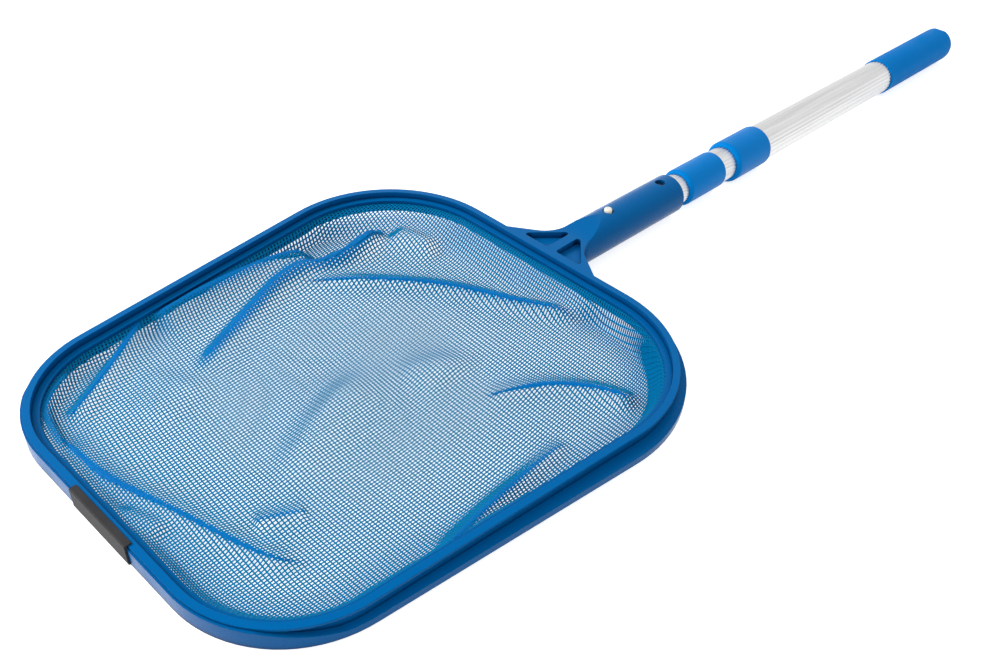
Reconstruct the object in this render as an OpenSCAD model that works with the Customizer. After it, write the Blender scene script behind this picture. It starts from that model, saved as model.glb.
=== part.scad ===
// Leaf skimmer net: a moulded hoop with a slack net, a socket with a snap
// button, and a three-section pole that slides out and locks by a twist.
// Millimetres. X runs along the pole from the hoop to the grip, Y is across,
// Z is up. The origin is under the middle of the whole length, on the surface
// that the front of the hoop and the large collar lie on.

/* [Hoop] */
// Length of the hoop, front to back, at its top outer edge
hoop_len = 318; // [280:1:350]
// Radius of the two front corners
front_corner_r = 67.2; // [50:0.1:80]
// Distance of the front corner centres from the middle line
front_corner_y = 60; // [50:0.5:70]
// Radius of the two rear corners
rear_corner_r = 80.5; // [60:0.1:90]
// Distance of the rear corner centres from the middle line
rear_corner_y = 64; // [55:0.5:75]
// Height of the hoop
hoop_h = 12.2; // [10:0.1:15]
// Width of the rim's flat top
rim_w = 4.1; // [3:0.1:6]
// Thickness of the lip along the rim's top outer edge
lip_t = 1.5; // [1:0.1:2.5]
// How far the wall below the lip is set in
web_in = 1.2; // [0.5:0.1:1.5]
// Height of the foot that stands out below the side channel
foot_h = 4.6; // [4:0.1:6.5]
// How far the foot stands out in front
foot_front = 1; // [0.6:0.1:1.3]
// How far the foot stands out at the front corners
foot_side = 3.1; // [2:0.1:4]
// How far the foot stands out at the rear corners
foot_rear = 6.4; // [4:0.1:8]
// How far the foot stands out at the back
foot_back = 5.4; // [4:0.1:7]
// Radius of the foot's two rear corners
foot_rear_r = 90.4; // [80:0.1:95]
// Distance from the front at which the side channel starts
channel_start = 14; // [8:1:40]
// Length over which the side channel reaches its full height
channel_run = 32; // [15:1:60]
// Angle between the hoop and the pole
head_pitch = 2; // [0:0.1:4]

/* [Net seat] */
// Height of the seat that the net's edge lies on
seat_z = 5.3; // [4.5:0.1:6]
// Width of the clamp ring on the net's edge
ring_w = 4; // [3:0.1:5]
// Thickness of the clamp ring
ring_t = 2; // [1.5:0.1:3]
// Depth of the hollow under the hoop
core_h = 3.4; // [2:0.1:4]
// Wall on each side of the hollow under the hoop
core_wall = 2; // [1.5:0.1:3]

/* [Net] */
// Cells of the net along each side
net_cells = 17; // [8:1:17]
// Thickness of the net
net_t = 0.5; // [0.4:0.05:0.8]
// Share of a cell that its cords cover on each side
net_cord = 0.25; // [0.1:0.01:0.3]
// Height of the lying net's middle over the ground
net_ground = 1.2; // [0.8:0.1:3]
// Width of the slope from the ring down to the lying middle
net_slope = 14; // [10:1:50]
// Height of the main folds
fold_h = 4; // [1:0.1:5]
// Half width of the main folds
fold_w = 8; // [6:0.5:12]

/* [Yoke and socket] */
// Width of the yoke where it leaves the hoop
yoke_w = 75; // [66:1:84]
// Width of the yoke's neck under the socket
yoke_neck = 22; // [18:0.5:26]
// Angle of the yoke's straight sides to the pole
yoke_side_a = 56; // [50:1:65]
// Radius of the yoke's hollow sides
yoke_fillet_r = 22.5; // [15:0.5:26]
// Depth of the two triangular pockets
pocket_h = 4.5; // [2:0.1:6]
// Distance of the pockets' wide ends behind the hoop's rear edge
pocket_start = 2; // [1.5:0.1:4]
// Length of the pockets
pocket_len = 21.5; // [15:0.5:22]
// Half width of the bar between the pockets
pocket_bar = 3.5; // [2.5:0.1:5]
// Distance of the pockets' outer corners from the middle line
pocket_out = 25; // [18:0.5:26]
// Radius of the pockets' corners
pocket_round = 1.8; // [0.5:0.1:2]
// Distance behind the hoop at which the ramp onto the socket starts
ramp_start = 23; // [22:0.5:28]
// Length of the ramp onto the socket
ramp_len = 28; // [24:1:34]
// Outer diameter of the socket
socket_d = 28.2; // [26:0.1:30]
// Distance of the socket's rounded front end behind the hoop
socket_back = 13; // [10:1:17]
// Length of the socket
socket_len = 115; // [100:0.5:130]
// Distance of the bore's floor before the ramp's end
bore_back = 8; // [2:0.5:9]
// Diameter of the socket's two button holes
button_hole_d = 7.2; // [7:0.1:8]
// Distance of the button behind the ramp's end
button_back = 6.4; // [2:0.1:9]
// Distance of the empty second hole from the socket's mouth
spare_hole_in = 13.4; // [12:0.1:40]

/* [Front bumper] */
// Length of the bumper along the front edge
bumper_len = 50; // [30:1:80]
// Thickness of the bumper in front of the hoop
bumper_t = 2; // [1.5:0.1:3]
// How far the bumper reaches back over the rim
bumper_over = 2.1; // [1.5:0.1:3.5]
// Thickness of the bumper's lips above and below the rim
bumper_lip = 0.9; // [0.6:0.1:1.5]

/* [Pole] */
// Outer diameter of the inner tube
inner_d = 22; // [20:0.5:22.5]
// Outer diameter of the middle tube
mid_d = 25; // [24.6:0.1:25.4]
// Outer diameter of the outer tube
outer_d = 28; // [27.6:0.1:28.4]
// Wall of the tubes, measured over the flutes
tube_wall = 1; // [0.8:0.1:1.2]
// Number of flutes round each tube
flutes = 32; // [16:1:40]
// Depth of the flutes
flute_h = 0.3; // [0.2:0.05:0.4]
// Width of the ridge between two flutes
flute_ridge = 0.4; // [0.3:0.05:0.8]
// Length of the inner tube
inner_len = 420; // [300:1:600]
// Room between the two lock cores with the pole slid in
core_room = 8.4; // [7:0.1:20]
// Room between the second lock core and the grip's floor
floor_room = 12.8; // [10.5:0.1:20]

/* [Collars and grip] */
// Outer diameter of the small collar
collar_1_d = 27.2; // [26.8:0.1:30]
// Outer diameter of the large collar
collar_2_d = 31.2; // [30.8:0.1:34]
// Gap between the socket and the small collar
collar_1_gap = 9.8; // [7:0.1:20]
// Length of the small collar
collar_1_len = 43; // [35:0.5:60]
// Gap between the two collars
collar_2_gap = 14.5; // [10.5:0.1:20]
// Length of the large collar
collar_2_len = 42.5; // [35:0.5:60]
// Thickness of the collars' guide rims
collar_rim = 4; // [3:0.5:6]
// Outer diameter of the grip
grip_d = 30.2; // [29.6:0.1:34]
// Length of the grip
grip_len = 121.5; // [100:0.5:150]
// Thickness of the grip's closed end
grip_floor = 9.5; // [8:0.5:12]
// Radius of the grip's end edge
grip_round = 9; // [5:0.5:10]
// Slope of the flat on the top of the grip's end
grip_flat_a = 19; // [10:1:30]
// Distance of the flat's start from the grip's end
grip_flat_len = 10; // [7:0.5:11]

/* [Locks and button] */
// Length of a lock core's plug in its tube
plug_len = 20; // [15:1:22]
// Length of a lock's split ring
lock_len = 15.6; // [12:0.1:16]
// Thickness of a lock core's two flanges
lock_flange = 2; // [1.5:0.1:2.2]
// Radius of a lock core's journal below the bore it works in
lock_journal_in = 4; // [3:0.1:5]
// Width of the slit in the lock rings
lock_slit = 2.4; // [1.5:0.1:4]
// Diameter of the snap button
button_d = 5.6; // [5.2:0.1:6.8]
// How far the button stands out of the socket
button_out = 1.8; // [1:0.1:2.5]
// Travel of the button
button_travel = 5.2; // [4:0.1:5.5]
// Length of the button spring's legs
spring_leg = 46; // [35:1:50]
// Thickness of the button spring's strip
spring_t = 0.8; // [0.6:0.05:1]
// Width of the button spring's strip
spring_w = 8; // [6:0.5:8]

/* [Clearances] */
// Clearance between a fixed piece and its seat
seat_gap = 0.02; // [0.01:0.01:0.05]
// Radial clearance of what slides or turns
run_gap = 0.05; // [0.03:0.01:0.09]
// Clearance above and below the net's edge
net_gap = 0.1; // [0.05:0.05:0.2]
// Clearance between the inner tube and the socket
socket_gap = 0.1; // [0.03:0.01:0.2]

/* [Hidden] */
$fn = 96;
frame_blue = [0.0, 0.39, 0.69];
net_blue = [0.05, 0.47, 0.75];
collar_blue = [0.04, 0.44, 0.73];
alu = [0.85, 0.85, 0.84];
rubber_black = [0.2, 0.2, 0.2];
ivory = [0.93, 0.91, 0.83];
steel = [0.6, 0.61, 0.63];
far = 200; // longer than any cut needs

bumper_round = 0.8;
pole_z = max(collar_2_d, grip_d) / 2;

// Distances from the hoop's front along the pole, from the socket to the
// grip's end. Each tube reaches past the one inside it by a lock core.
socket_start = hoop_len + socket_back;
socket_end = socket_start + socket_len;
ramp_x = hoop_len + ramp_start;
button_x = ramp_x + ramp_len + button_back;
spare_hole_x = socket_end - spare_hole_in;
inner_start = ramp_x + ramp_len - bore_back;
inner_end = inner_start + inner_len;
core_out = 2 * lock_flange + lock_len + 2 * run_gap;
collar_1_x = socket_end + collar_1_gap;
mid_start = collar_1_x + collar_rim;
mid_end = inner_end + core_out + core_room + plug_len;
collar_2_x = collar_1_x + collar_1_len + collar_2_gap;
outer_start = collar_2_x + collar_rim;
outer_end = mid_end + core_out + floor_room;
grip_end_x = outer_end + grip_floor;
grip_x = grip_end_x - grip_len;

// The bumper's lower front edge is the lowest point of the tilted head.
head_lift = (bumper_t - bumper_round) * sin(head_pitch)
    + bumper_round * (1 - cos(head_pitch));
// The bumper's upper front edge is the foremost point of the tilted head.
bumper_top = hoop_h + bumper_lip;
head_front = (bumper_round - bumper_t) * cos(head_pitch)
    - (bumper_top - bumper_round) * sin(head_pitch) - bumper_round;
x_mid = (head_front + grip_end_x) / 2;

ring_z = seat_z + net_t + 2 * net_gap;
mouth_in = rim_w + ring_w + 0.2;
channel_top = hoop_h - lip_t;

inner_bore = inner_d - 2 * tube_wall;
mid_bore = mid_d - 2 * tube_wall;
outer_bore = outer_d - 2 * tube_wall;

// Places what is drawn in the hoop's own frame: X back from the front edge,
// Z up from the hoop's underside.
module head_pose() {
    translate([-x_mid, 0, head_lift]) rotate([0, -head_pitch, 0]) children();
}

// Places what is drawn along the pole: local Z is the distance from the
// hoop's front, local -X points up.
module pole_pose() {
    translate([-x_mid, 0, pole_z]) rotate([0, 90, 0]) children();
}

// Extrudes an outline drawn in X and Z across the middle line.
module across(width) {
    rotate([90, 0, 0]) translate([0, 0, -width / 2])
        linear_extrude(width) children();
}

// Points of an arc about [x, y].
function arc(x, y, r, from, to, steps = 8) =
    [for (i = [0:steps]) let (a = from + (to - from) * i / steps)
        [x + r * cos(a), y + r * sin(a)]];

function across_y(points) = [for (p = points) [p[0], -p[1]]];
function reversed(list) = [for (i = [len(list) - 1:-1:0]) list[i]];

// Direction that stands square on the common tangent of two circles.
function tangent_normal(a, a_r, b, b_r) =
    let (dir = (b - a) / norm(b - a), tilt = (a_r - b_r) / norm(b - a))
    dir * tilt + [-dir[1], dir[0]] * sqrt(1 - tilt * tilt);

// Half of the straight-sided part of an outline round two corner circles.
// It stays a hair inside the corner arcs, so that they cross it.
function half_outline(a, a_r, b, b_r) =
    let (n = tangent_normal(a, a_r, b, b_r), e = -0.004)
    [[a[0] - a_r - e, a[1]], a + (a_r + e) * n,
        b + (b_r + e) * n, [b[0] + b_r + e, b[1]]];

// A plate of height h with corner circles about a and b on each side.
module plate(a, a_r, b, b_r, h) {
    half = half_outline(a, a_r, b, b_r);
    linear_extrude(h) polygon(concat(half, reversed(across_y(half))));
    for (side = [-1, 1]) {
        translate([a[0], side * a[1], 0])
            cylinder(h = h, r = a_r, $fn = 128);
        translate([b[0], side * b[1], 0])
            cylinder(h = h, r = b_r, $fn = 128);
    }
}

// The hoop's outline is four corner arcs joined by their common tangents.
front_c = [front_corner_r, front_corner_y];
rear_c = [hoop_len - rear_corner_r, rear_corner_y];
side_normal = tangent_normal(front_c, front_corner_r, rear_c, rear_corner_r);

// Half of the hoop's outline, grown by d.
function outline_half(d) =
    half_outline(front_c, front_corner_r + d, rear_c, rear_corner_r + d);

// A plate of height h whose edge is the hoop's outline, grown by d.
module slab(d, h) {
    plate(front_c, front_corner_r + d, rear_c, rear_corner_r + d, h);
}

// A band that follows the hoop between two offsets of its outline.
module band(outer, inner, z, h) {
    translate([0, 0, z]) difference() {
        slab(outer, h);
        translate([0, 0, -1]) slab(inner, h + 2);
    }
}

// The foot keeps its height along the sides and rises to the lip in front.
module foot() {
    intersection() {
        plate(front_c + [foot_side - foot_front, 0],
            front_corner_r + foot_side,
            [hoop_len + foot_back - foot_rear_r,
                rear_c[1] + rear_corner_r + foot_rear - foot_rear_r],
            foot_rear_r, channel_top);
        across(3 * far) polygon([
            [-far, 0], [-far, channel_top], [channel_start, channel_top],
            [channel_start + channel_run, foot_h],
            [3 * far, foot_h], [3 * far, 0]
        ]);
    }
}

module hoop() {
    difference() {
        union() {
            foot();
            slab(-web_in, channel_top);
            translate([0, 0, channel_top]) slab(0, lip_t);
        }
        translate([0, 0, seat_z]) slab(-rim_w, hoop_h);
        translate([0, 0, -1]) slab(-mouth_in, hoop_h);
        band(-core_wall, core_wall - mouth_in, -1, 1 + core_h);
        bumper_seat();
    }
}

// Recess under the front edge for the bumper's lower lip.
module bumper_seat() {
    translate([-far / 2, -bumper_len / 2 - net_gap, -1])
        cube([far / 2 + bumper_over + net_gap,
            bumper_len + 2 * net_gap, 1 + bumper_lip + seat_gap]);
}

// The yoke narrows along straight sides and a hollow curve to its neck.
module yoke() {
    neck = yoke_neck / 2;
    curve_y = neck + yoke_fillet_r;
    curve_x = hoop_len + (yoke_fillet_r
        - (curve_y - yoke_w / 2) * cos(yoke_side_a)) / sin(yoke_side_a);
    half = concat(
        [[hoop_len - rim_w / 2, yoke_w / 2], [hoop_len, yoke_w / 2]],
        arc(curve_x, curve_y, yoke_fillet_r, 270 - yoke_side_a, 270, 12),
        [[curve_x + 10, neck]]
    );
    translate([0, 0, 1]) linear_extrude(hoop_h - 1)
        polygon(concat(half, reversed(across_y(half))));
}

// A convex outline with corners of radius r about the given centres, which
// go round it to the left.
function rounded(centres, r) =
    let (n = len(centres))
    [for (i = [0:n - 1])
        let (
            came = centres[i] - centres[(i + n - 1) % n],
            goes = centres[(i + 1) % n] - centres[i],
            from = atan2(came[1], came[0]) - 90,
            turn = atan2(goes[1], goes[0]) - 90 - from
        )
        each arc(centres[i][0], centres[i][1], r, from,
            from + (turn < 0 ? turn + 360 : turn), 5)];

module pockets() {
    r = pocket_round;
    near = hoop_len + pocket_start + r;
    end = hoop_len + pocket_start + pocket_len - r;
    for (side = [0, 1]) mirror([0, side, 0])
        translate([0, 0, hoop_h - pocket_h]) linear_extrude(far)
            polygon(rounded([[near, pocket_bar + r], [end, pocket_bar + r],
                [near, pocket_out - 2 * r]], r));
}

// What rises above the yoke's flat top, up to a soft ramp onto the socket.
module above_ramp() {
    end = ramp_x + ramp_len;
    top = (pole_z + socket_d / 2 - head_lift - end * sin(head_pitch))
        / cos(head_pitch);
    across(2 * socket_d) polygon(concat(
        [[hoop_len - 20, hoop_h]],
        [for (i = [0:12]) let (t = i / 12)
            [ramp_x + t * ramp_len,
                hoop_h + (top - hoop_h) * t * t * (3 - 2 * t)]],
        [[end, hoop_h + 80], [hoop_len - 20, hoop_h + 80]]
    ));
}

module socket() {
    r = socket_d / 2;
    nose = 9;
    edge = 1.2;
    rotate_extrude() polygon(concat(
        [[0, socket_start]],
        arc(r - nose, socket_start + nose, nose, -90, 0),
        arc(r - edge, socket_end - edge, edge, 0, 90),
        [[0, socket_end]]
    ));
}

module head_frame() {
    bore_d = inner_d + 2 * socket_gap;
    color(frame_blue) difference() {
        union() {
            head_pose() {
                hoop();
                yoke();
            }
            difference() {
                pole_pose() socket();
                head_pose() above_ramp();
            }
        }
        head_pose() pockets();
        pole_pose() translate([0, 0, inner_start - socket_gap])
            cylinder(h = far, d = bore_d);
        for (x = [button_x, spare_hole_x]) pole_pose()
            translate([0, 0, x]) rotate([0, -90, 0])
                cylinder(h = socket_d, d = button_hole_d);
    }
}

module net_clamp_ring() {
    color(frame_blue) head_pose()
        band(-rim_w - seat_gap, -rim_w - ring_w, ring_z, ring_t);
}

// The net is a slack lattice. A square grid is spread over the hoop's mouth,
// sags from the clamp ring to the ground and crosses a few soft folds.
net_edge = mouth_in + 0.7;
net_hem = rim_w + ring_w / 2;
net_center = [hoop_len / 2, 0];

function dot(a, b) = a[0] * b[0] + a[1] * b[1];

// Distance along dir from the net's centre to the far side of a circle.
function to_circle(dir, c, r) =
    let (v = c - net_center, b = dot(dir, v), q = b * b - dot(v, v) + r * r)
    q < 0 ? 0 : b + sqrt(q);

// Distance along dir from the net's centre to a line with normal n.
function to_line(dir, p, n) =
    let (s = dot(dir, n)) s <= 0 ? 10000 : dot(p - net_center, n) / s;

// Distance along dir, with dir[1] >= 0, to the outline grown by d. Beyond a
// tangent line the ray ends on the line, and between the lines on an arc.
function to_outline(dir, d) =
    let (
        half = outline_half(d),
        lines = min(
            to_line(dir, half[0], [-1, 0]),
            to_line(dir, half[1], side_normal),
            to_line(dir, half[3], [1, 0])),
        p = net_center + lines * dir,
        front = to_circle(dir, front_c, front_corner_r + d),
        rear = to_circle(dir, rear_c, rear_corner_r + d)
    )
    p[0] < half[1][0] && p[1] > front_corner_y ? front
    : p[0] > half[2][0] && p[1] > rear_corner_y ? rear : lines;

// Spreads the grid position [u, v], each from -1 to 1, over the outline. The
// middle keeps square cells, and the edge follows the outline.
function spread(u, v, d) =
    let (
        x = u * sqrt(1 - v * v / 2),
        y = v * sqrt(1 - u * u / 2),
        r = norm([x, y]),
        dir = r < 0.0001 ? [1, 0] : [x, abs(y)] / r,
        reach = r * to_outline(dir, d),
        round = reach * [dir[0], y < 0 ? -dir[1] : dir[1]],
        square = [u * (hoop_len / 2 + d), v * to_outline([0, 1], d)],
        w = pow(max(abs(u), abs(v)), 3)
    )
    net_center + w * round + (1 - w) * square;

// How far [x, y] lies inside the outline, about.
function inside(p) =
    let (v = p - net_center, r = norm(v))
    r < 0.0001 ? hoop_len / 2
    : to_outline([v[0], abs(v[1])] / r, 0) - r;

// Distance from a point to a line through points.
function to_segment(p, a, b) =
    let (t = max(0, min(1, dot(p - a, b - a) / dot(b - a, b - a))))
    norm(p - a - t * (b - a));
function to_path(p, path) =
    min([for (i = [0:len(path) - 2]) to_segment(p, path[i], path[i + 1])]);

// The main folds, in the hoop's frame.
folds = [
    [[272, 100], [224, 103], [188, 102], [158, 96], [120, 78], [93, 66]],
    [[189, 93], [204, 76], [226, 60], [242, 46], [253, 28], [266, 3],
        [282, -28], [294, -38], [304, -45]],
    [[201, -66], [224, -72], [239, -85], [248, -97]],
    [[210, -112], [186, -111], [148, -111], [110, -112]],
    [[22, 70], [24, 39], [30, 0], [38, -31], [46, -57], [62, -82]],
    [[32, 76], [56, 92], [80, 106]]
];

// Height of the net's underside at p.
function net_z(p) =
    let (
        ground = net_ground / cos(head_pitch) - p[0] * tan(head_pitch),
        t = max(0, min(1, (inside(p) - net_edge) / net_slope)),
        ease = t * t * (3 - 2 * t),
        folded = max([for (f = folds) exp(-pow(to_path(p, f) / fold_w, 2))])
    )
    (seat_z + net_gap) * (1 - ease) + (ground + fold_h * folded) * ease;

function lift(p, h) = [p[0], p[1], net_z(p) + h];

module net() {
    n = net_cells;
    grid = [for (j = [0:n], i = [0:n])
        spread(2 * i / n - 1, 2 * j / n - 1, -net_edge)];
    // Corners of the hole in cell i, j, in order round it.
    function hole(i, j) = [for (c = [[0, 0], [1, 0], [1, 1], [0, 1]])
        let (
            fx = c[0] == 0 ? net_cord : 1 - net_cord,
            fy = c[1] == 0 ? net_cord : 1 - net_cord,
            k = i + j * (n + 1),
            low = grid[k] * (1 - fx) + grid[k + 1] * fx,
            high = grid[k + n + 1] * (1 - fx) + grid[k + n + 2] * fx
        )
        low * (1 - fy) + high * fy];
    holes = [for (j = [0:n - 1], i = [0:n - 1]) each hole(i, j)];
    // Grid positions round the edge, in order, and the hem beyond them.
    edge = concat(
        [for (i = [0:n - 1]) [i, 0]], [for (j = [0:n - 1]) [n, j]],
        [for (i = [n:-1:1]) [i, n]], [for (j = [n:-1:1]) [0, j]]);
    hem = [for (e = edge)
        spread(2 * e[0] / n - 1, 2 * e[1] / n - 1, -net_hem)];
    flat = concat(grid, holes, hem);
    count = len(flat);
    points = concat([for (p = flat) lift(p, 0)],
        [for (p = flat) lift(p, net_t)]);
    first_hole = len(grid);
    first_hem = first_hole + len(holes);
    // A quad as two triangles on the underside and two on the top.
    function both(a, b, c, d) = [[a, b, c], [a, c, d],
        [count + c, count + b, count + a], [count + d, count + c, count + a]];
    // A quad standing between the underside and the top.
    function wall(a, b) = [[a, count + a, count + b], [a, count + b, b]];
    cells = [for (j = [0:n - 1], i = [0:n - 1])
        let (
            k = i + j * (n + 1),
            outer = [k, k + 1, k + n + 2, k + n + 1],
            h = first_hole + 4 * (i + j * n)
        )
        each [for (s = [0:3])
            let (t = (s + 1) % 4)
            each concat(both(outer[s], outer[t], h + t, h + s),
                wall(h + t, h + s))]];
    rim = [for (s = [0:len(edge) - 1])
        let (
            t = (s + 1) % len(edge),
            a = edge[s][0] + edge[s][1] * (n + 1),
            b = edge[t][0] + edge[t][1] * (n + 1)
        )
        each concat(both(first_hem + s, first_hem + t, b, a),
            wall(first_hem + s, first_hem + t))];
    color(net_blue) head_pose()
        polyhedron(points, [for (f = concat(cells, rim)) reversed(f)]);
}

module front_bumper() {
    r = bumper_round;
    back = bumper_over;
    hold = seat_gap;
    front = foot_front + hold;
    color(rubber_black) head_pose() across(bumper_len) difference() {
        polygon(concat(
            [[back, 0]],
            arc(r - bumper_t, r, r, 270, 180),
            arc(r - bumper_t, bumper_top - r, r, 180, 90),
            [[back, bumper_top]]
        ));
        polygon([
            [-front, bumper_lip], [far, bumper_lip],
            [far, hoop_h + hold], [-hold, hoop_h + hold],
            [-hold, channel_top + hold], [-front, channel_top + hold]
        ]);
    }
}

// Points round a fluted tube. Each flute is a shallow hollow in six steps,
// and the last step of one and the first of the next leave the ridge.
function flute_points(d) =
    let (
        turn = 360 / flutes,
        ridge = flute_ridge / (PI * d) * 360,
        steps = 6
    )
    [for (i = [0:flutes - 1], t = [0:steps])
        let (
            a = i * turn + ridge / 2 + (turn - ridge) * t / steps,
            r = d / 2 - flute_h * (1 - pow(2 * t / steps - 1, 2))
        )
        r * [cos(a), sin(a)]];

// A tube with flutes along its outside.
module fluted_tube(d, len) {
    linear_extrude(len) difference() {
        polygon(flute_points(d));
        circle(d = d - 2 * tube_wall);
    }
}

module inner_tube() {
    color(alu) pole_pose() difference() {
        translate([0, 0, inner_start]) fluted_tube(inner_d, inner_len);
        translate([0, 0, button_x]) rotate([0, -90, 0])
            cylinder(h = inner_d, d = button_d + 2 * run_gap);
    }
}

module mid_tube() {
    color(alu) pole_pose() translate([0, 0, mid_start])
        fluted_tube(mid_d, mid_end - mid_start);
}

module outer_tube() {
    color(alu) pole_pose() translate([0, 0, outer_start])
        fluted_tube(outer_d, outer_end - outer_start);
}

// A collar on the end of one tube, with a rim that guides the next one.
module collar(x, len, d, tube, guided, shoulder) {
    r = d / 2;
    rear = 1.2;
    mouth_r = guided / 2 + run_gap;
    seat_r = tube / 2 + seat_gap;
    pole_pose() translate([0, 0, x]) rotate_extrude() polygon(concat(
        [[mouth_r, 0]],
        arc(r - shoulder, shoulder, shoulder, -70, 0),
        arc(r - rear, len - rear, rear, 0, 90),
        [[seat_r, len], [seat_r, collar_rim], [mouth_r, collar_rim]]
    ));
}

module collar_1() {
    color(collar_blue) collar(collar_1_x, collar_1_len, collar_1_d,
        mid_d, inner_d, 3);
}

module collar_2() {
    color(collar_blue) collar(collar_2_x, collar_2_len, collar_2_d,
        outer_d, mid_d, 3.4);
}

module grip() {
    r = grip_d / 2;
    edge = 0.8;
    bore_r = outer_d / 2 + seat_gap;
    bore_end = outer_end + seat_gap;
    flat_x = grip_end_x - grip_flat_len;
    color(collar_blue) difference() {
        pole_pose() rotate_extrude() polygon(concat(
            [[bore_r, grip_x]],
            arc(r - edge, grip_x + edge, edge, -90, 0),
            arc(r - grip_round, grip_end_x - grip_round,
                grip_round, 0, 90),
            [[0, grip_end_x], [0, bore_end], [bore_r, bore_end]]
        ));
        translate([flat_x - x_mid, -r, pole_z + r])
            rotate([0, grip_flat_a, 0]) cube([far, grip_d, far]);
    }
}

// The core fixed in the end of a tube, with a journal between two flanges.
module lock_core(end, bore, tube, work_bore) {
    journal_r = work_bore / 2 - lock_journal_in;
    flange_2 = end + lock_flange + lock_len + 2 * run_gap;
    pole_pose() {
        translate([0, 0, end - plug_len])
            cylinder(h = plug_len + lock_flange, d = bore - 2 * seat_gap);
        translate([0, 0, end + seat_gap])
            cylinder(h = lock_flange - seat_gap, d = tube - 2 * flute_h);
        translate([0, 0, end]) cylinder(
            h = flange_2 - end + lock_flange, r = journal_r);
        translate([0, 0, flange_2])
            cylinder(h = lock_flange, d = tube - 2 * flute_h);
    }
}

// The split ring that turns on a core's journal and slides in the next tube.
module lock_ring(end, work_bore) {
    journal_r = work_bore / 2 - lock_journal_in;
    pole_pose() translate([0, 0, end + lock_flange + run_gap])
        difference() {
            cylinder(h = lock_len, r = work_bore / 2 - run_gap);
            translate([0, 0, -1])
                cylinder(h = lock_len + 2, r = journal_r + run_gap);
            translate([0, -lock_slit / 2, -1])
                cube([work_bore, lock_slit, lock_len + 2]);
        }
}

module lock_core_1() {
    color(ivory) lock_core(inner_end, inner_bore, inner_d, mid_bore);
}

module lock_ring_1() {
    color(steel) lock_ring(inner_end, mid_bore);
}

module lock_core_2() {
    color(ivory) lock_core(mid_end, mid_bore, mid_d, outer_bore);
}

module lock_ring_2() {
    color(steel) lock_ring(mid_end, outer_bore);
}

// Heights over the pole's axis.
button_top = socket_d / 2 + button_out;
button_flange_r = button_d / 2 + 1.3;
button_flange_t = 1.2;
button_flange_top =
    sqrt(pow(inner_bore / 2, 2) - pow(button_flange_r, 2)) - 0.3;
button_flange_low = button_flange_top - button_flange_t;

module snap_button() {
    r = button_d / 2;
    crown = 1.4;
    color(ivory) pole_pose() translate([0, 0, button_x]) rotate([0, -90, 0])
        rotate_extrude() polygon(concat(
            [[0, button_flange_low], [button_flange_r, button_flange_low],
                [button_flange_r, button_flange_top],
                [r, button_flange_top]],
            arc(r - crown, button_top - crown, crown, 0, 90),
            [[0, button_top]]
        ));
}

// A bent strip: its upper leg lifts the button, its lower leg lies on the
// inside of the tube.
module button_spring() {
    low = -sqrt(pow(inner_bore / 2, 2) - pow(spring_w / 2, 2)) + run_gap;
    high = button_flange_low - seat_gap;
    bend_r = 3.6;
    mid = (low + high) / 2;
    // Half of the legs' opening, found by a few steps of a slope rule.
    open = (high - low - spring_t) / 2;
    a1 = asin((open - bend_r) / spring_leg);
    leg_a = asin((open - bend_r * cos(a1)) / spring_leg);
    bend_x = button_x - 4 + spring_leg;
    color(steel) pole_pose() translate([0, 0, bend_x]) rotate([0, -90, 0])
        across(spring_w) spring_outline(mid, bend_r, leg_a);
}

// Drawn with X away from the button and Y up.
module spring_outline(mid, bend_r, leg_a) {
    outer = bend_r + spring_t / 2;
    inner = bend_r - spring_t / 2;
    // The end of the upper leg, r above the leg's pivot.
    function tip(r) = [r * sin(leg_a) - spring_leg * cos(leg_a),
        r * cos(leg_a) + spring_leg * sin(leg_a)];
    function under(p) = [p[0], -p[1]];
    translate([0, mid]) polygon(concat(
        [tip(outer)],
        arc(0, 0, outer, 90 - leg_a, leg_a - 90, 16),
        [under(tip(outer)), under(tip(inner))],
        arc(0, 0, inner, leg_a - 90, 90 - leg_a, 16),
        [tip(inner)]
    ));
}

head_frame();
net_clamp_ring();
net();
front_bumper();
inner_tube();
snap_button();
button_spring();
lock_core_1();
lock_ring_1();
mid_tube();
collar_1();
lock_core_2();
lock_ring_2();
outer_tube();
collar_2();
grip();
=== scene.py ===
from math import cos, pi, radians, sin, sqrt

import bmesh
import bpy
import numpy as np
from mathutils import Matrix, Vector


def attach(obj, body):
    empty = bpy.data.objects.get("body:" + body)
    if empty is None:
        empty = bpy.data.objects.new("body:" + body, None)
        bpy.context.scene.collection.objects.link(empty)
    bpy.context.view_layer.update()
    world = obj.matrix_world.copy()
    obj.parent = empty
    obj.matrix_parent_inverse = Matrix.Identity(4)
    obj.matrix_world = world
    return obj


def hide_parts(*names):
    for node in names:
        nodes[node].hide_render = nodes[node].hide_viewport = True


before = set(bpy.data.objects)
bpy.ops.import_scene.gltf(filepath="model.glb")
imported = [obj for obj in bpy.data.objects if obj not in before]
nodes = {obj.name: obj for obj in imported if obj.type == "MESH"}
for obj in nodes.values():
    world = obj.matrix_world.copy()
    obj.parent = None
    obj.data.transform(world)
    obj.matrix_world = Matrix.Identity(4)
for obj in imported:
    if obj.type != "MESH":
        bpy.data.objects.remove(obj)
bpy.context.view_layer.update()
scene = bpy.context.scene

# ---------------------------------------------------------------- camera
# The frame's origin lies this far behind the hoop's front edge.
X_MID = 0.4343357
# The camera, fitted to the photograph: its turn about the object, height angle
# and roll in radians, its place in metres from the hoop's front edge, and its
# focal length in pixels of the photograph.
AZ, EL, ROLL = -0.84127, 0.668024, 0.0718438
CAMERA_AT = (-0.13231, -0.35813, 0.40473)
FOCAL, PHOTO_WIDTH = 1073.2, 984


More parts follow.
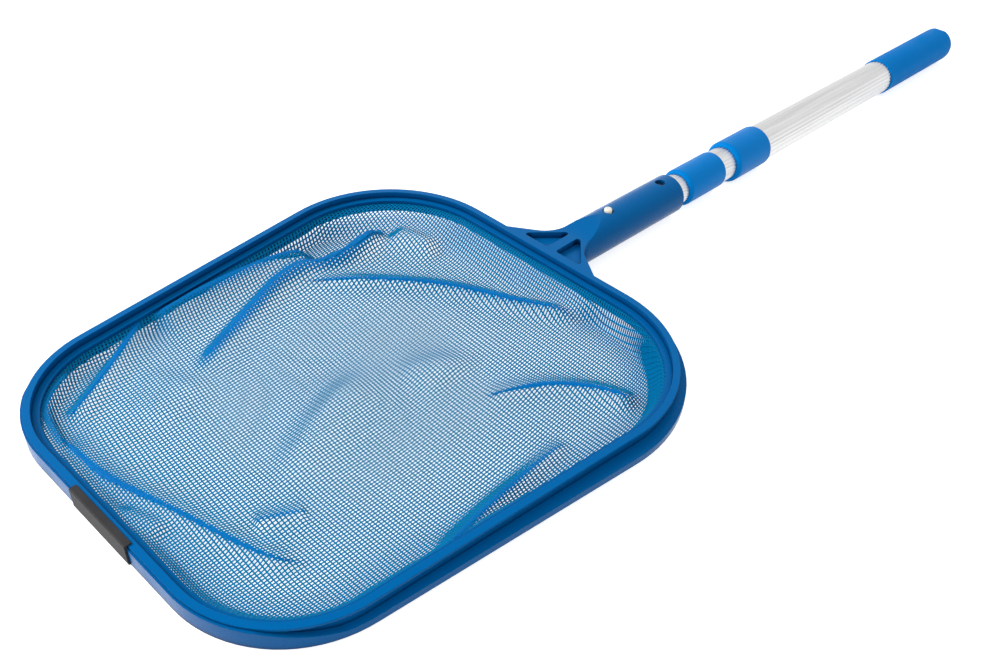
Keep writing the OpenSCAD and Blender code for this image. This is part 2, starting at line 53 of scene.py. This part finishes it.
def place_camera():
    back = Vector((sin(AZ) * cos(EL), -cos(AZ) * cos(EL), sin(EL)))
    right = Vector((0, 0, 1)).cross(back).normalized()
    up = back.cross(right)
    right, up = cos(ROLL) * right + sin(ROLL) * up, cos(ROLL) * up - sin(ROLL) * right
    data = bpy.data.cameras.new("camera")
    data.sensor_width = 36
    data.lens = FOCAL / PHOTO_WIDTH * data.sensor_width
    data.clip_start = 0.01
    camera = bpy.data.objects.new("camera", data)
    camera.matrix_world = Matrix((right, up, back)).transposed().to_4x4()
    x, y, z = CAMERA_AT
    camera.matrix_world.translation = Vector((x - X_MID, y, z))
    scene.collection.objects.link(camera)
    scene.camera = camera


place_camera()


# ------------------------------------------------------------- materials
def srgb(r, g, b):
    """Linear colour of an 8-bit sRGB one."""
    return tuple((c / 3294.6 if c <= 10 else ((c / 255 + 0.055) / 1.055) ** 2.4) for c in (r, g, b)) + (1,)


class Nodes:
    """A material's node tree, built with short calls."""

    def __init__(self, name):
        self.mat = bpy.data.materials.new(name)
        self.mat.use_nodes = True
        self.tree = self.mat.node_tree
        self.tree.nodes.clear()
        self.out = self.add("ShaderNodeOutputMaterial")

    def add(self, kind, **inputs):
        node = self.tree.nodes.new(kind)
        for key, value in inputs.items():
            name = key.replace("_", " ")
            if name in node.inputs:
                self.put(node.inputs[name], value)
            else:
                setattr(node, key, value)
        return node

    def put(self, socket, value):
        if isinstance(value, bpy.types.NodeSocket):
            self.tree.links.new(value, socket)
        else:
            socket.default_value = value

    def coords(self, scale):
        at = self.add("ShaderNodeTexCoord").outputs["Object"]
        m = self.add("ShaderNodeMapping", Scale=scale)
        self.put(m.inputs["Vector"], at)
        return m.outputs["Vector"]

    def noise(self, scale, detail=3, stretch=(1, 1, 1), rough=0.5):
        n = self.add("ShaderNodeTexNoise", Scale=scale, Detail=detail, Roughness=rough)
        self.put(n.inputs["Vector"], self.coords(stretch))
        return n.outputs["Fac"]

    def ramp(self, fac, stops):
        r = self.add("ShaderNodeValToRGB")
        e = r.color_ramp.elements
        while len(e) < len(stops):
            e.new(0.5)
        for el, (at, col) in zip(e, stops):
            el.position = at
            el.color = col if isinstance(col, tuple) else (col, col, col, 1)
        self.put(r.inputs["Fac"], fac)
        return r.outputs["Color"]

    def mix(self, fac, a, b):
        m = self.add("ShaderNodeMix", data_type="RGBA")
        self.put(m.inputs[0], fac)
        self.put(m.inputs[6], a)
        self.put(m.inputs[7], b)
        return m.outputs[2]

    def bump(self, height, strength, distance, normal=None):
        b = self.add("ShaderNodeBump", Strength=strength, Distance=distance)
        self.put(b.inputs["Height"], height)
        if normal is not None:
            self.put(b.inputs["Normal"], normal)
        return b.outputs["Normal"]

    def edge(self, radius):
        return self.add("ShaderNodeBevel", samples=4, Radius=radius).outputs["Normal"]

    def painted_shade_mask(self, distance):
        """Strength of painted shade, from 0 to 1: strongest on upright walls deep in a groove, corner or
        pocket, weaker on open upright walls and faint on flat faces.
        """
        ao = self.add("ShaderNodeAmbientOcclusion", samples=8, Distance=distance)
        shut = self.ramp(ao.outputs["AO"], [(0.4, 1.0), (0.9, 0.0)])
        part = self.add("ShaderNodeSeparateXYZ")
        self.put(part.inputs[0], self.add("ShaderNodeTexCoord").outputs["Normal"])
        tilt = self.add("ShaderNodeMath", operation="ABSOLUTE")
        self.put(tilt.inputs[0], part.outputs["Z"])
        wall = self.ramp(tilt.outputs[0], [(0.4, 1.0), (0.85, 0.2)])
        deep = self.add("ShaderNodeMath", operation="MULTIPLY_ADD")
        self.put(deep.inputs[0], shut)
        self.put(deep.inputs[1], 0.75)
        self.put(deep.inputs[2], 0.25)
        both = self.add("ShaderNodeMath", operation="MULTIPLY")
        self.put(both.inputs[0], deep.outputs[0])
        self.put(both.inputs[1], wall)
        return both.outputs[0]

    def finish(self, **inputs):
        p = self.add("ShaderNodeBsdfPrincipled", **inputs)
        self.tree.links.new(p.outputs["BSDF"], self.out.inputs["Surface"])
        return self.mat


def plastic(name, colour, rough, radius=0.0006, grain=0.05, gloss=0.5, shade=None):
    """Moulded plastic: soft mottling, fine moulding grain and softened edges; given a shade colour,
    painted shade darkens its grooves, corners, pockets and upright walls.
    """
    n = Nodes(name)
    dark = tuple(c * 0.94 for c in colour[:3]) + (1,)
    light = tuple(min(1, c * 1.05) for c in colour[:3]) + (1,)
    col = n.mix(n.noise(14, 4), dark, light)
    # Painted shade: the shade colour is mixed in over hollows and upright walls.
    if shade:
        col = n.mix(n.painted_shade_mask(0.005), col, shade)
    fine = n.noise(1400, 2)
    normal = n.bump(fine, grain, 0.0002, n.edge(radius))
    r = n.ramp(n.noise(60, 3), [(0.3, rough - 0.05), (0.7, rough + 0.06)])
    # Real plastic has a white sheen. This one is tinted, to keep the blue as deep as
    # it is in the photograph.
    tint = tuple(c / max(colour[:3]) for c in colour[:3]) + (1,)
    return n.finish(Base_Color=col, Roughness=r, Normal=normal,
                    **{"Specular IOR Level": gloss, "Specular Tint": tint})


def aluminium(name):
    """Satin drawn aluminium, with streaks along the tube."""
    n = Nodes(name)
    streak = n.noise(260, 4, (0.02, 1, 1), 0.7)
    col = n.ramp(streak, [(0.25, srgb(196, 197, 198)), (0.75, srgb(232, 232, 232))])
    r = n.ramp(n.noise(90, 3, (0.05, 1, 1)), [(0.3, 0.28), (0.7, 0.42)])
    normal = n.bump(streak, 0.12, 0.0001)
    return n.finish(Base_Color=col, Metallic=1.0, Roughness=r, Normal=normal)


def rubber(name):
    """Matt dark rubber with a fine grain."""
    n = Nodes(name)
    col = n.ramp(n.noise(40, 4), [(0.3, srgb(33, 33, 35)), (0.7, srgb(47, 47, 49))])
    normal = n.bump(n.noise(900, 3), 0.2, 0.0002, n.edge(0.0005))
    return n.finish(Base_Color=col, Roughness=0.62, Normal=normal, **{"Specular IOR Level": 0.25})


# The frame's shade colour, srgb(2, 28, 66), is painted shade for its grooves, pockets and upright walls.
frame_blue = plastic("frame_plastic", srgb(0, 102, 170), 0.28, gloss=0.13, shade=srgb(2, 28, 66))
collar_blue = plastic("collar_plastic", srgb(4, 128, 210), 0.4, gloss=0.1)
grip_blue = plastic("grip_plastic", srgb(0, 128, 212), 0.5, grain=0.12, gloss=0.03)
ivory = plastic("ivory_plastic", srgb(246, 244, 232), 0.35)
inner_plastic = plastic("natural_plastic", srgb(225, 224, 214), 0.45)
tube_metal = aluminium("tube_aluminium")
black_rubber = rubber("bumper_rubber")

for name, mat in {
    "head_frame": frame_blue,
    "net_clamp_ring": frame_blue,
    "front_bumper": black_rubber,
    "inner_tube": tube_metal,
    "mid_tube": tube_metal,
    "outer_tube": tube_metal,
    "snap_button": ivory,
    "button_spring": tube_metal,
    "lock_core_1": inner_plastic,
    "lock_core_2": inner_plastic,
    "lock_ring_1": inner_plastic,
    "lock_ring_2": inner_plastic,
    "collar_1": collar_blue,
    "collar_2": collar_blue,
    "grip": grip_blue,
}.items():
    nodes[name].data.materials.clear()
    nodes[name].data.materials.append(mat)

# ------------------------------------------------------------ hoop's plan
# Millimetres in the hoop's own frame: x back from the front edge, z up. The
# corners' centres and radii, front and rear, and the hoop's pitch to the pole.
LENGTH = 318.0
FC, FR = np.array([67.2, 60.0]), 67.2
RC, RR = np.array([LENGTH - 80.5, 64.0]), 80.5
TILT = radians(2)


def side_normal():
    """Unit normal of the straight side, which touches both corners."""
    side = RC - FC
    length = np.hypot(*side)
    ahead = side / length
    lean = (FR - RR) / length
    return ahead * lean + np.array([-ahead[1], ahead[0]]) * sqrt(1 - lean * lean)


SIDE_N = side_normal()


def inside(x, y):
    """How far points lie inside the hoop's outline."""
    y = np.abs(y)
    d = np.minimum(x, LENGTH - x)
    d = np.minimum(d, FR - ((x - FC[0]) * SIDE_N[0] + (y - FC[1]) * SIDE_N[1]))
    for c, r, way in ((FC, FR, -1), (RC, RR, 1)):
        vx, vy = x - c[0], y - c[1]
        a, b = (vx * SIDE_N[1] - vy * SIDE_N[0]) * way, vy
        corner = (a > 0) & (b > 0)
        d = np.where(corner, r - np.hypot(vx, vy), d)
    return d


def to_path(x, y, path):
    """Signed distance to a path, the share of the way along it, and the side's unit normal."""
    best = np.full(np.shape(x), 1e9)
    along, signed = np.zeros_like(best), np.zeros_like(best)
    nx, ny = np.zeros_like(best), np.zeros_like(best)
    lens = [np.hypot(b[0] - a[0], b[1] - a[1]) for a, b in zip(path, path[1:])]
    total, run = sum(lens), 0.0
    for (a, b), seg in zip(zip(path, path[1:]), lens):
        ux, uy = (b[0] - a[0]) / seg, (b[1] - a[1]) / seg
        t = np.clip((x - a[0]) * ux + (y - a[1]) * uy, 0, seg)
        dx, dy = x - a[0] - t * ux, y - a[1] - t * uy
        d = np.hypot(dx, dy)
        near = d < best
        s = np.sign(dy * ux - dx * uy)
        best = np.where(near, d, best)
        along = np.where(near, (run + t) / total, along)
        nx = np.where(near, -uy, nx)
        ny = np.where(near, ux, ny)
        signed = np.where(near, d * s, signed)
        run += seg
    return signed, along, nx, ny


def smooth(path, steps=6):
    """A curve through the path's points."""
    p = [np.array(q, float) for q in path]
    p = [2 * p[0] - p[1]] + p + [2 * p[-1] - p[-2]]
    out = []
    for a, b, c, d in zip(p, p[1:], p[2:], p[3:]):
        for i in range(steps):
            t = i / steps
            out.append(0.5 * (2 * b + (c - a) * t + (2 * a - 5 * b + 4 * c - d) * t * t
                              + (3 * b - a - 3 * c + d) * t ** 3))
    out.append(p[-2])
    return out


def step(t):
    """A smooth step from 0 to 1."""
    t = np.clip(t, 0, 1)
    return t * t * (3 - 2 * t)


def fold(points, left, right, tight=0, widths=None):
    """A fold of the net.

    points are x, y and the crest's height over the floor; left and right the
    half widths on the path's two sides; tight how closely the net is gathered;
    widths how wide the gathered net is at even steps along the crest.
    """
    return smooth(points), left, right, tight, widths


# Their paths were picked in the photograph, and their heights are guesses.
FOLDS = [
    # From the far rear corner forwards, and the long one across the rear.
    fold([(276, 108, 15), (232, 102, 10), (193, 106, 8), (159, 96, 7), (96, 70, 3)],
         10, 5, 0.88, [5, 16, 11, 10, 6]),
    fold([(194, 99, 4), (229, 69, 6), (259, 33, 7), (280, -12, 9), (299, -50, 11)],
         9, 5, 1.1, [1, 3, 4, 4, 1]),
    # At the far side: the short one, the ledge along the rim, and the front corner.
    fold([(97, 124, 9), (65, 104, 5), (24, 79, 4)], 8, 4, 1.0, [5, 3.5, 1]),
    fold([(220, 115, 11), (189, 123, 12), (132, 124, 12), (97, 120, 10)],
         14, 4, 0.85, [4, 11, 14, 6]),
    fold([(46, 113, 7), (21, 94, 7), (12, 56, 6)], 4, 4, 0.6, [1, 7, 1]),
    # Behind the front edge, and the crease beside it.
    fold([(16, 72, 5), (18, 31, 5), (31, -15, 5), (46, -66, 5), (61, -84, 3)],
         9, 5, 1.1, [1, 5, 3, 3, 1]),
    fold([(55, -44, 4), (79, -56, 3)], 7, 5, 0.7, [1, 3, 1]),
    # At the near side: along the rim, and into the rear corner.
    fold([(104, -125, 10), (152, -116, 7), (214, -110, 4)], 7, 6, 0.85, [3, 5, 1]),
    fold([(204, -55, 3), (235, -72, 5), (253, -94, 7), (262, -120, 9)],
         10, 6, 1.0, [1, 4, 4, 2]),
    # Soft swells, which aren't gathered.
    fold([(268, 104, 11), (287, 66, 8)], 14, 12),
    fold([(75, -36, 5), (134, -5, 5.5), (180, 5, 5)], 10, 24),
    fold([(176, -8, 4), (205, -20, 5), (211, -38, 4)], 12, 18),
    fold([(98, 70, 3.5), (52, 48, 3)], 12, 20),
    fold([(8, 8, 6), (22, -24, 4)], 6, 8),
]
# Height at which the clamp ring holds the net, and of the net where it lies.
SEAT, LYING = 5.65, 0.75
# How far inside the outline the hem is cut and the ring's inner edge lies.
HEM, RING = 4.9, 8.4
# Width over which the net comes down from the ring, and what the back adds.
SLOPE, BACK_SLOPE = 8, 18


def distances(path):
    """The distance along a path to each of its points."""
    steps = np.hypot(*np.diff(np.array(path)[:, :2], axis=0).T)
    return np.concatenate([[0], np.cumsum(steps)])


def crest(path, t):
    """Height in the hoop's frame of the crest at the share t of a path."""
    p, run = np.array(path), distances(path)
    return np.interp(t, run / run[-1], p[:, 2] - p[:, 0] * sin(TILT))


def cloth(x, y):
    """The slack net's surface over the plan position (x, y), as x, y, z arrays."""
    depth = inside(x, y)
    back = step((x - 225) / 50) * step((60 + y) / 40)
    wide = SLOPE + BACK_SLOPE * back
    ease = step((depth - RING) / wide) ** 0.8
    low = LYING - x * sin(TILT)
    z = SEAT * (1 - ease) + low * ease
    mx, my = np.zeros_like(x), np.zeros_like(x)
    for path, left, right, _, widths in FOLDS:
        d, t, nx, ny = to_path(x, y, path)
        ends = 0.12 if widths else 0.3
        fade = step(t / ends) * step((1 - t) / ends) * step((depth - RING + 0.2) / 2.5)
        half = np.where(d > 0, left, right)
        hill = np.exp(-(d / half) ** 2) * fade
        z = z + np.maximum(crest(path, t) - z, 0) * hill
        if widths:
            pull = -0.2 * d * np.exp(-(d / (1.6 * half)) ** 2) * fade
            mx, my = mx + nx * pull, my + ny * pull
    z = z + 0.5 * ease * (np.sin(x * 0.05 + y * 0.031) + 1) * 0.5
    return x + mx, y + my, z


def to_world(x, y, z):
    """Points in mm of the hoop's frame as metres of the part's frame."""
    wx = x * cos(TILT) - z * sin(TILT)
    wz = x * sin(TILT) + z * cos(TILT)
    return np.stack([wx / 1000 - X_MID, y / 1000, wz / 1000], -1)


# -------------------------------------------------------------------- net
# How the two families of cords lie in plan: their pitch in mm, their slope to the
# hoop's axes, and how many mm they bow and draw apart 100 mm from the middle. All
# were rounded from a fit to the cords in the photograph. The cords along the
# hoop are really about 1.6 mm apart, too fine for this picture, so their pitch
# and both spreads were then changed.
MIDDLE = 160
HANG = {
    "along": {"pitch": 2.0, "lean": 0.07, "bow": 7, "spread": 9},
    "across": {"pitch": 2.5, "lean": 0.08, "bow": 6, "spread": 11},
}
# Depth from which the net climbs to the rim, and how gently it gathers there.
CLIMB_FROM, CLIMB_REACH = 36, 60
# How far out the cords' bow and spread level off.
OPEN = 150
# The cords of each family, numbered from the middle.
ACROSS, ALONG = np.arange(-85.0, 85), np.arange(-115.0, 135)
# How far a cord rises and dips where it crosses the others.
WEAVE = 0.1
# How tightly the net is gathered at the rim, and over what width it gets so.
RIM_TIGHT, RIM_REACH = 0.24, 26
# Folds gathered more than this are rolled up.
ROLLED_FROM = 0.9
# The step along a roll, its half width as a share of the gathered width, and the
# most that this may be.
ROLL_STEP, ROLL_SHARE, ROLL_MOST = 1.5, 0.35, 2.6
# The share of the net that each family covers, and its pitches' limits.
SHARE = {"along": 0.5, "across": 0.38}
PITCH = {"along": (1.3, 2.4), "across": (1.6, 3.1)}
CORD_COLOUR = {"along": srgb(0, 120, 168), "across": srgb(4, 127, 176)}
FOLD_COLOUR = srgb(0, 112, 188)


def hang(u, v):
    """Where the crossing of the across cord u and the along cord v lies.

    The slack net hangs askew, its cords further apart towards the back and the
    far side.
    """
    along, across = HANG["along"], HANG["across"]
    s, t = u * across["pitch"], v * along["pitch"]
    # In hundreds of mm from the middle, levelling off past the open net.
    a, b = OPEN / 100 * np.tanh(s / OPEN), OPEN / 100 * np.tanh(t / OPEN)
    x = MIDDLE + s + across["lean"] * t + across["bow"] * b * b + across["spread"] * a * a
    y = t + along["lean"] * s + along["bow"] * a * a + along["spread"] * b * b
    # The net climbs to the rim, so its cords lie closer in plan there.
    depth = inside(x, y)
    nx = inside(x + 0.5, y) - inside(x - 0.5, y)
    ny = inside(x, y + 0.5) - inside(x, y - 0.5)
    size = np.maximum(np.hypot(nx, ny), 1e-6)
    past = np.maximum(CLIMB_FROM - depth, 0)
    shift = past - CLIMB_REACH * (1 - np.exp(-past / CLIMB_REACH))
    return x + nx / size * shift, y + ny / size * shift


class Builder:
    """Gathers strips of points into one mesh with a colour at each point."""

    def __init__(self):
        self.verts, self.faces, self.colours, self.count = [], [], [], 0

    def strip(self, rows, colours):
        """rows has a row of points for each step along the strip."""
        n, m = rows.shape[:2]
        self.verts.append(rows.reshape(-1, 3))
        self.colours.append(np.repeat(colours, m, axis=0))
        i = (np.arange(n - 1)[:, None] * m + np.arange(m - 1)[None, :]).reshape(-1, 1) + self.count
        self.faces.append(np.concatenate([i, i + m, i + m + 1, i + 1], 1))
        self.count += n * m

    def mesh(self, name):
        mesh = bpy.data.meshes.new(name)
        points, faces = np.concatenate(self.verts) / 1000, np.concatenate(self.faces)
        mesh.from_pydata(points.tolist(), [], faces.tolist())
        layer = mesh.color_attributes.new("cord", "FLOAT_COLOR", "POINT")
        layer.data.foreach_set("color", np.concatenate(self.colours).astype(np.float32).ravel())
        mesh.shade_smooth()
        return mesh


def crowding(x, y):
    """How tightly the net is gathered, from 0 in the open to about 1 on a fold."""
    near = RIM_TIGHT * step((CLIMB_FROM - inside(x, y)) / RIM_REACH)
    for path, _, _, tight, widths in FOLDS:
        if widths:
            d, t, _, _ = to_path(x, y, path)
            wide = np.interp(t, np.linspace(0, 1, len(widths)), widths)
            fade = step(t / 0.08) * step((1 - t) / 0.12)
            near = np.maximum(near, tight * np.exp(-(np.abs(d) / (0.55 * wide)) ** 3) * fade)
    return near


def cords(net, kind):
    """One family of cords, with a point where it crosses each cord of the other one."""
    u, v = np.meshgrid(ACROSS, ALONG, indexing="ij")
    gx, gy = hang(u, v)
    px, py, pz = cloth(gx, gy)
    near = crowding(gx, gy)
    mask = inside(px, py) > HEM
    over = np.cos(pi * (u + v)) * (1 if kind == "along" else -1)
    pts = to_world(px, py, pz + WEAVE * over) * 1000
    if kind == "across":
        pts, mask, near = np.swapaxes(pts, 0, 1), mask.T, near.T
    pitch = np.linalg.norm(np.gradient(pts, axis=1), axis=2)
    for line in range(mask.shape[1]):
        idx = np.flatnonzero(mask[:, line])
        if len(idx) < 3:
            continue
        run = slice(idx[0], idx[-1] + 1)
        p, close = pts[run, line], near[run, line, None]
        tan = np.gradient(p, axis=0)
        tan /= np.linalg.norm(tan, axis=1, keepdims=True)
        out = np.cross(tan, [0, 0, 1.0])
        out /= np.linalg.norm(out, axis=1, keepdims=True)
        top = np.cross(out, tan)
        half = np.clip(pitch[run, line, None], *PITCH[kind]) * SHARE[kind] / 2 * (1 + close)
        rows = np.stack([p - half * out, p + 0.25 * half * top, p + half * out], 1)
        close = np.minimum(close, 1)
        net.strip(rows, (1 - close) * CORD_COLOUR[kind] + close * FOLD_COLOUR)


def rolled(net, path, widths, seed):
    """The rolled-up net along a fold's crest."""
    p, run = np.array(path), distances(path)
    t = np.linspace(0, 1, int(run[-1] / ROLL_STEP))
    far = t * run[-1]
    x, y = np.interp(far, run, p[:, 0]), np.interp(far, run, p[:, 1])
    z = crest(path, t)
    tx, ty = np.gradient(x), np.gradient(y)
    size = np.hypot(tx, ty)
    wave = 1 + 0.1 * np.sin(far * 0.23 + seed) + 0.06 * np.sin(far * 0.71 + 2 * seed)
    half = np.interp(t, np.linspace(0, 1, len(widths)), widths) * ROLL_SHARE
    half = np.minimum(half, ROLL_MOST) * wave * step(t / 0.1) * step((1 - t) / 0.2)
    rows = [to_world(x - ty / size * half * cos(a), y + tx / size * half * cos(a),
                     z - 0.25 + (0.2 + 0.35 * half) * sin(a)) for a in np.linspace(pi, 0, 9)]
    net.strip(np.stack(rows, 1) * 1000, np.tile(FOLD_COLOUR, (len(t), 1)))


def net_mesh():
    net = Builder()
    cords(net, "along")
    cords(net, "across")
    for seed, (path, _, _, tight, widths) in enumerate(FOLDS):
        if tight > ROLLED_FROM:
            rolled(net, path, widths, seed)
    return net.mesh("woven_net")


def net_fabric():
    """Woven polyester in the cords' own colours, with a tinted sheen."""
    n = Nodes("net_fabric")
    dyed = n.add("ShaderNodeAttribute", attribute_name="cord").outputs["Color"]
    shade = n.ramp(n.noise(55, 4), [(0.25, 0.88), (0.75, 1.0)])
    col = n.add("ShaderNodeMix", data_type="RGBA", blend_type="MULTIPLY")
    n.put(col.inputs[0], 1.0)
    n.put(col.inputs[6], dyed)
    n.put(col.inputs[7], shade)
    normal = n.bump(n.noise(2500, 2), 0.3, 0.0001)
    return n.finish(Base_Color=col.outputs[2], Roughness=0.5, Normal=normal,
                    **{"Specular IOR Level": 0.25, "Specular Tint": (0.02, 0.4, 1, 1)})


net = bpy.data.objects.new("woven_net", net_mesh())
scene.collection.objects.link(net)
net.data.materials.append(net_fabric())
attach(net, "head")
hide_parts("net")


# ---------------------------------------------------------- floor, lights
# How far the floor reaches and lies below the part, in metres, and its own glow.
FLOOR_REACH, FLOOR_DROP, FLOOR_GLOW = 6, 0.0002, 0.72


def floor_white():
    """A diffuse floor, which shows shadows, with a glow that makes it look white."""
    n = Nodes("floor")
    path = n.add("ShaderNodeLightPath")
    seen = n.add("ShaderNodeMath", operation="MAXIMUM")
    n.put(seen.inputs[0], path.outputs["Is Camera Ray"])
    n.put(seen.inputs[1], path.outputs["Is Glossy Ray"])
    diffuse = n.add("ShaderNodeBsdfDiffuse", Color=(0.8, 0.8, 0.8, 1))
    glow = n.add("ShaderNodeEmission", Color=(1, 1, 1, 1), Strength=FLOOR_GLOW)
    lit = n.add("ShaderNodeAddShader")
    n.put(lit.inputs[0], diffuse.outputs[0])
    n.put(lit.inputs[1], glow.outputs[0])
    pick = n.add("ShaderNodeMixShader")
    n.put(pick.inputs[0], seen.outputs[0])
    n.put(pick.inputs[1], diffuse.outputs[0])
    n.put(pick.inputs[2], lit.outputs[0])
    n.put(n.out.inputs["Surface"], pick.outputs[0])
    return n.mat


def lay_floor():
    mesh = bpy.data.meshes.new("floor")
    grid = bmesh.new()
    bmesh.ops.create_grid(grid, x_segments=1, y_segments=1, size=FLOOR_REACH)
    grid.to_mesh(mesh)
    grid.free()
    mesh.materials.append(floor_white())
    floor = bpy.data.objects.new("floor", mesh)
    floor.location.z = -FLOOR_DROP
    scene.collection.objects.link(floor)


def white_world(light):
    """A world that looks white and lights the object with the given strength."""
    world = bpy.data.worlds.new("world")
    world.use_nodes = True
    scene.world = world
    tree = world.node_tree
    background = tree.nodes["Background"]
    background.inputs["Color"].default_value = (1, 1, 1, 1)
    path = tree.nodes.new("ShaderNodeLightPath")
    seen = tree.nodes.new("ShaderNodeMath")
    seen.operation = "MAXIMUM"
    tree.links.new(path.outputs["Is Camera Ray"], seen.inputs[0])
    tree.links.new(path.outputs["Is Glossy Ray"], seen.inputs[1])
    strength = tree.nodes.new("ShaderNodeMapRange")
    strength.inputs["To Min"].default_value = light
    strength.inputs["To Max"].default_value = 1.0
    tree.links.new(seen.outputs[0], strength.inputs["Value"])
    tree.links.new(strength.outputs["Result"], background.inputs["Strength"])


def area_light(name, where, target, side, watts):
    """A square lamp that faces its target."""
    data = bpy.data.lights.new(name, "AREA")
    data.shape = "RECTANGLE"
    data.size, data.size_y = side, side
    data.energy = watts
    obj = bpy.data.objects.new(name, data)
    obj.location = where
    obj.rotation_euler = (Vector(where) - Vector(target)).to_track_quat("Z", "Y").to_euler()
    scene.collection.objects.link(obj)


lay_floor()
white_world(0.6)
area_light("key", (-1.1, 1.0, 0.95), (-0.25, 0, 0), 0.8, 19)
area_light("fill", (-1.2, -0.9, 1.0), (-0.2, 0, 0), 1.0, 5)

scene.view_settings.view_transform = "Standard"
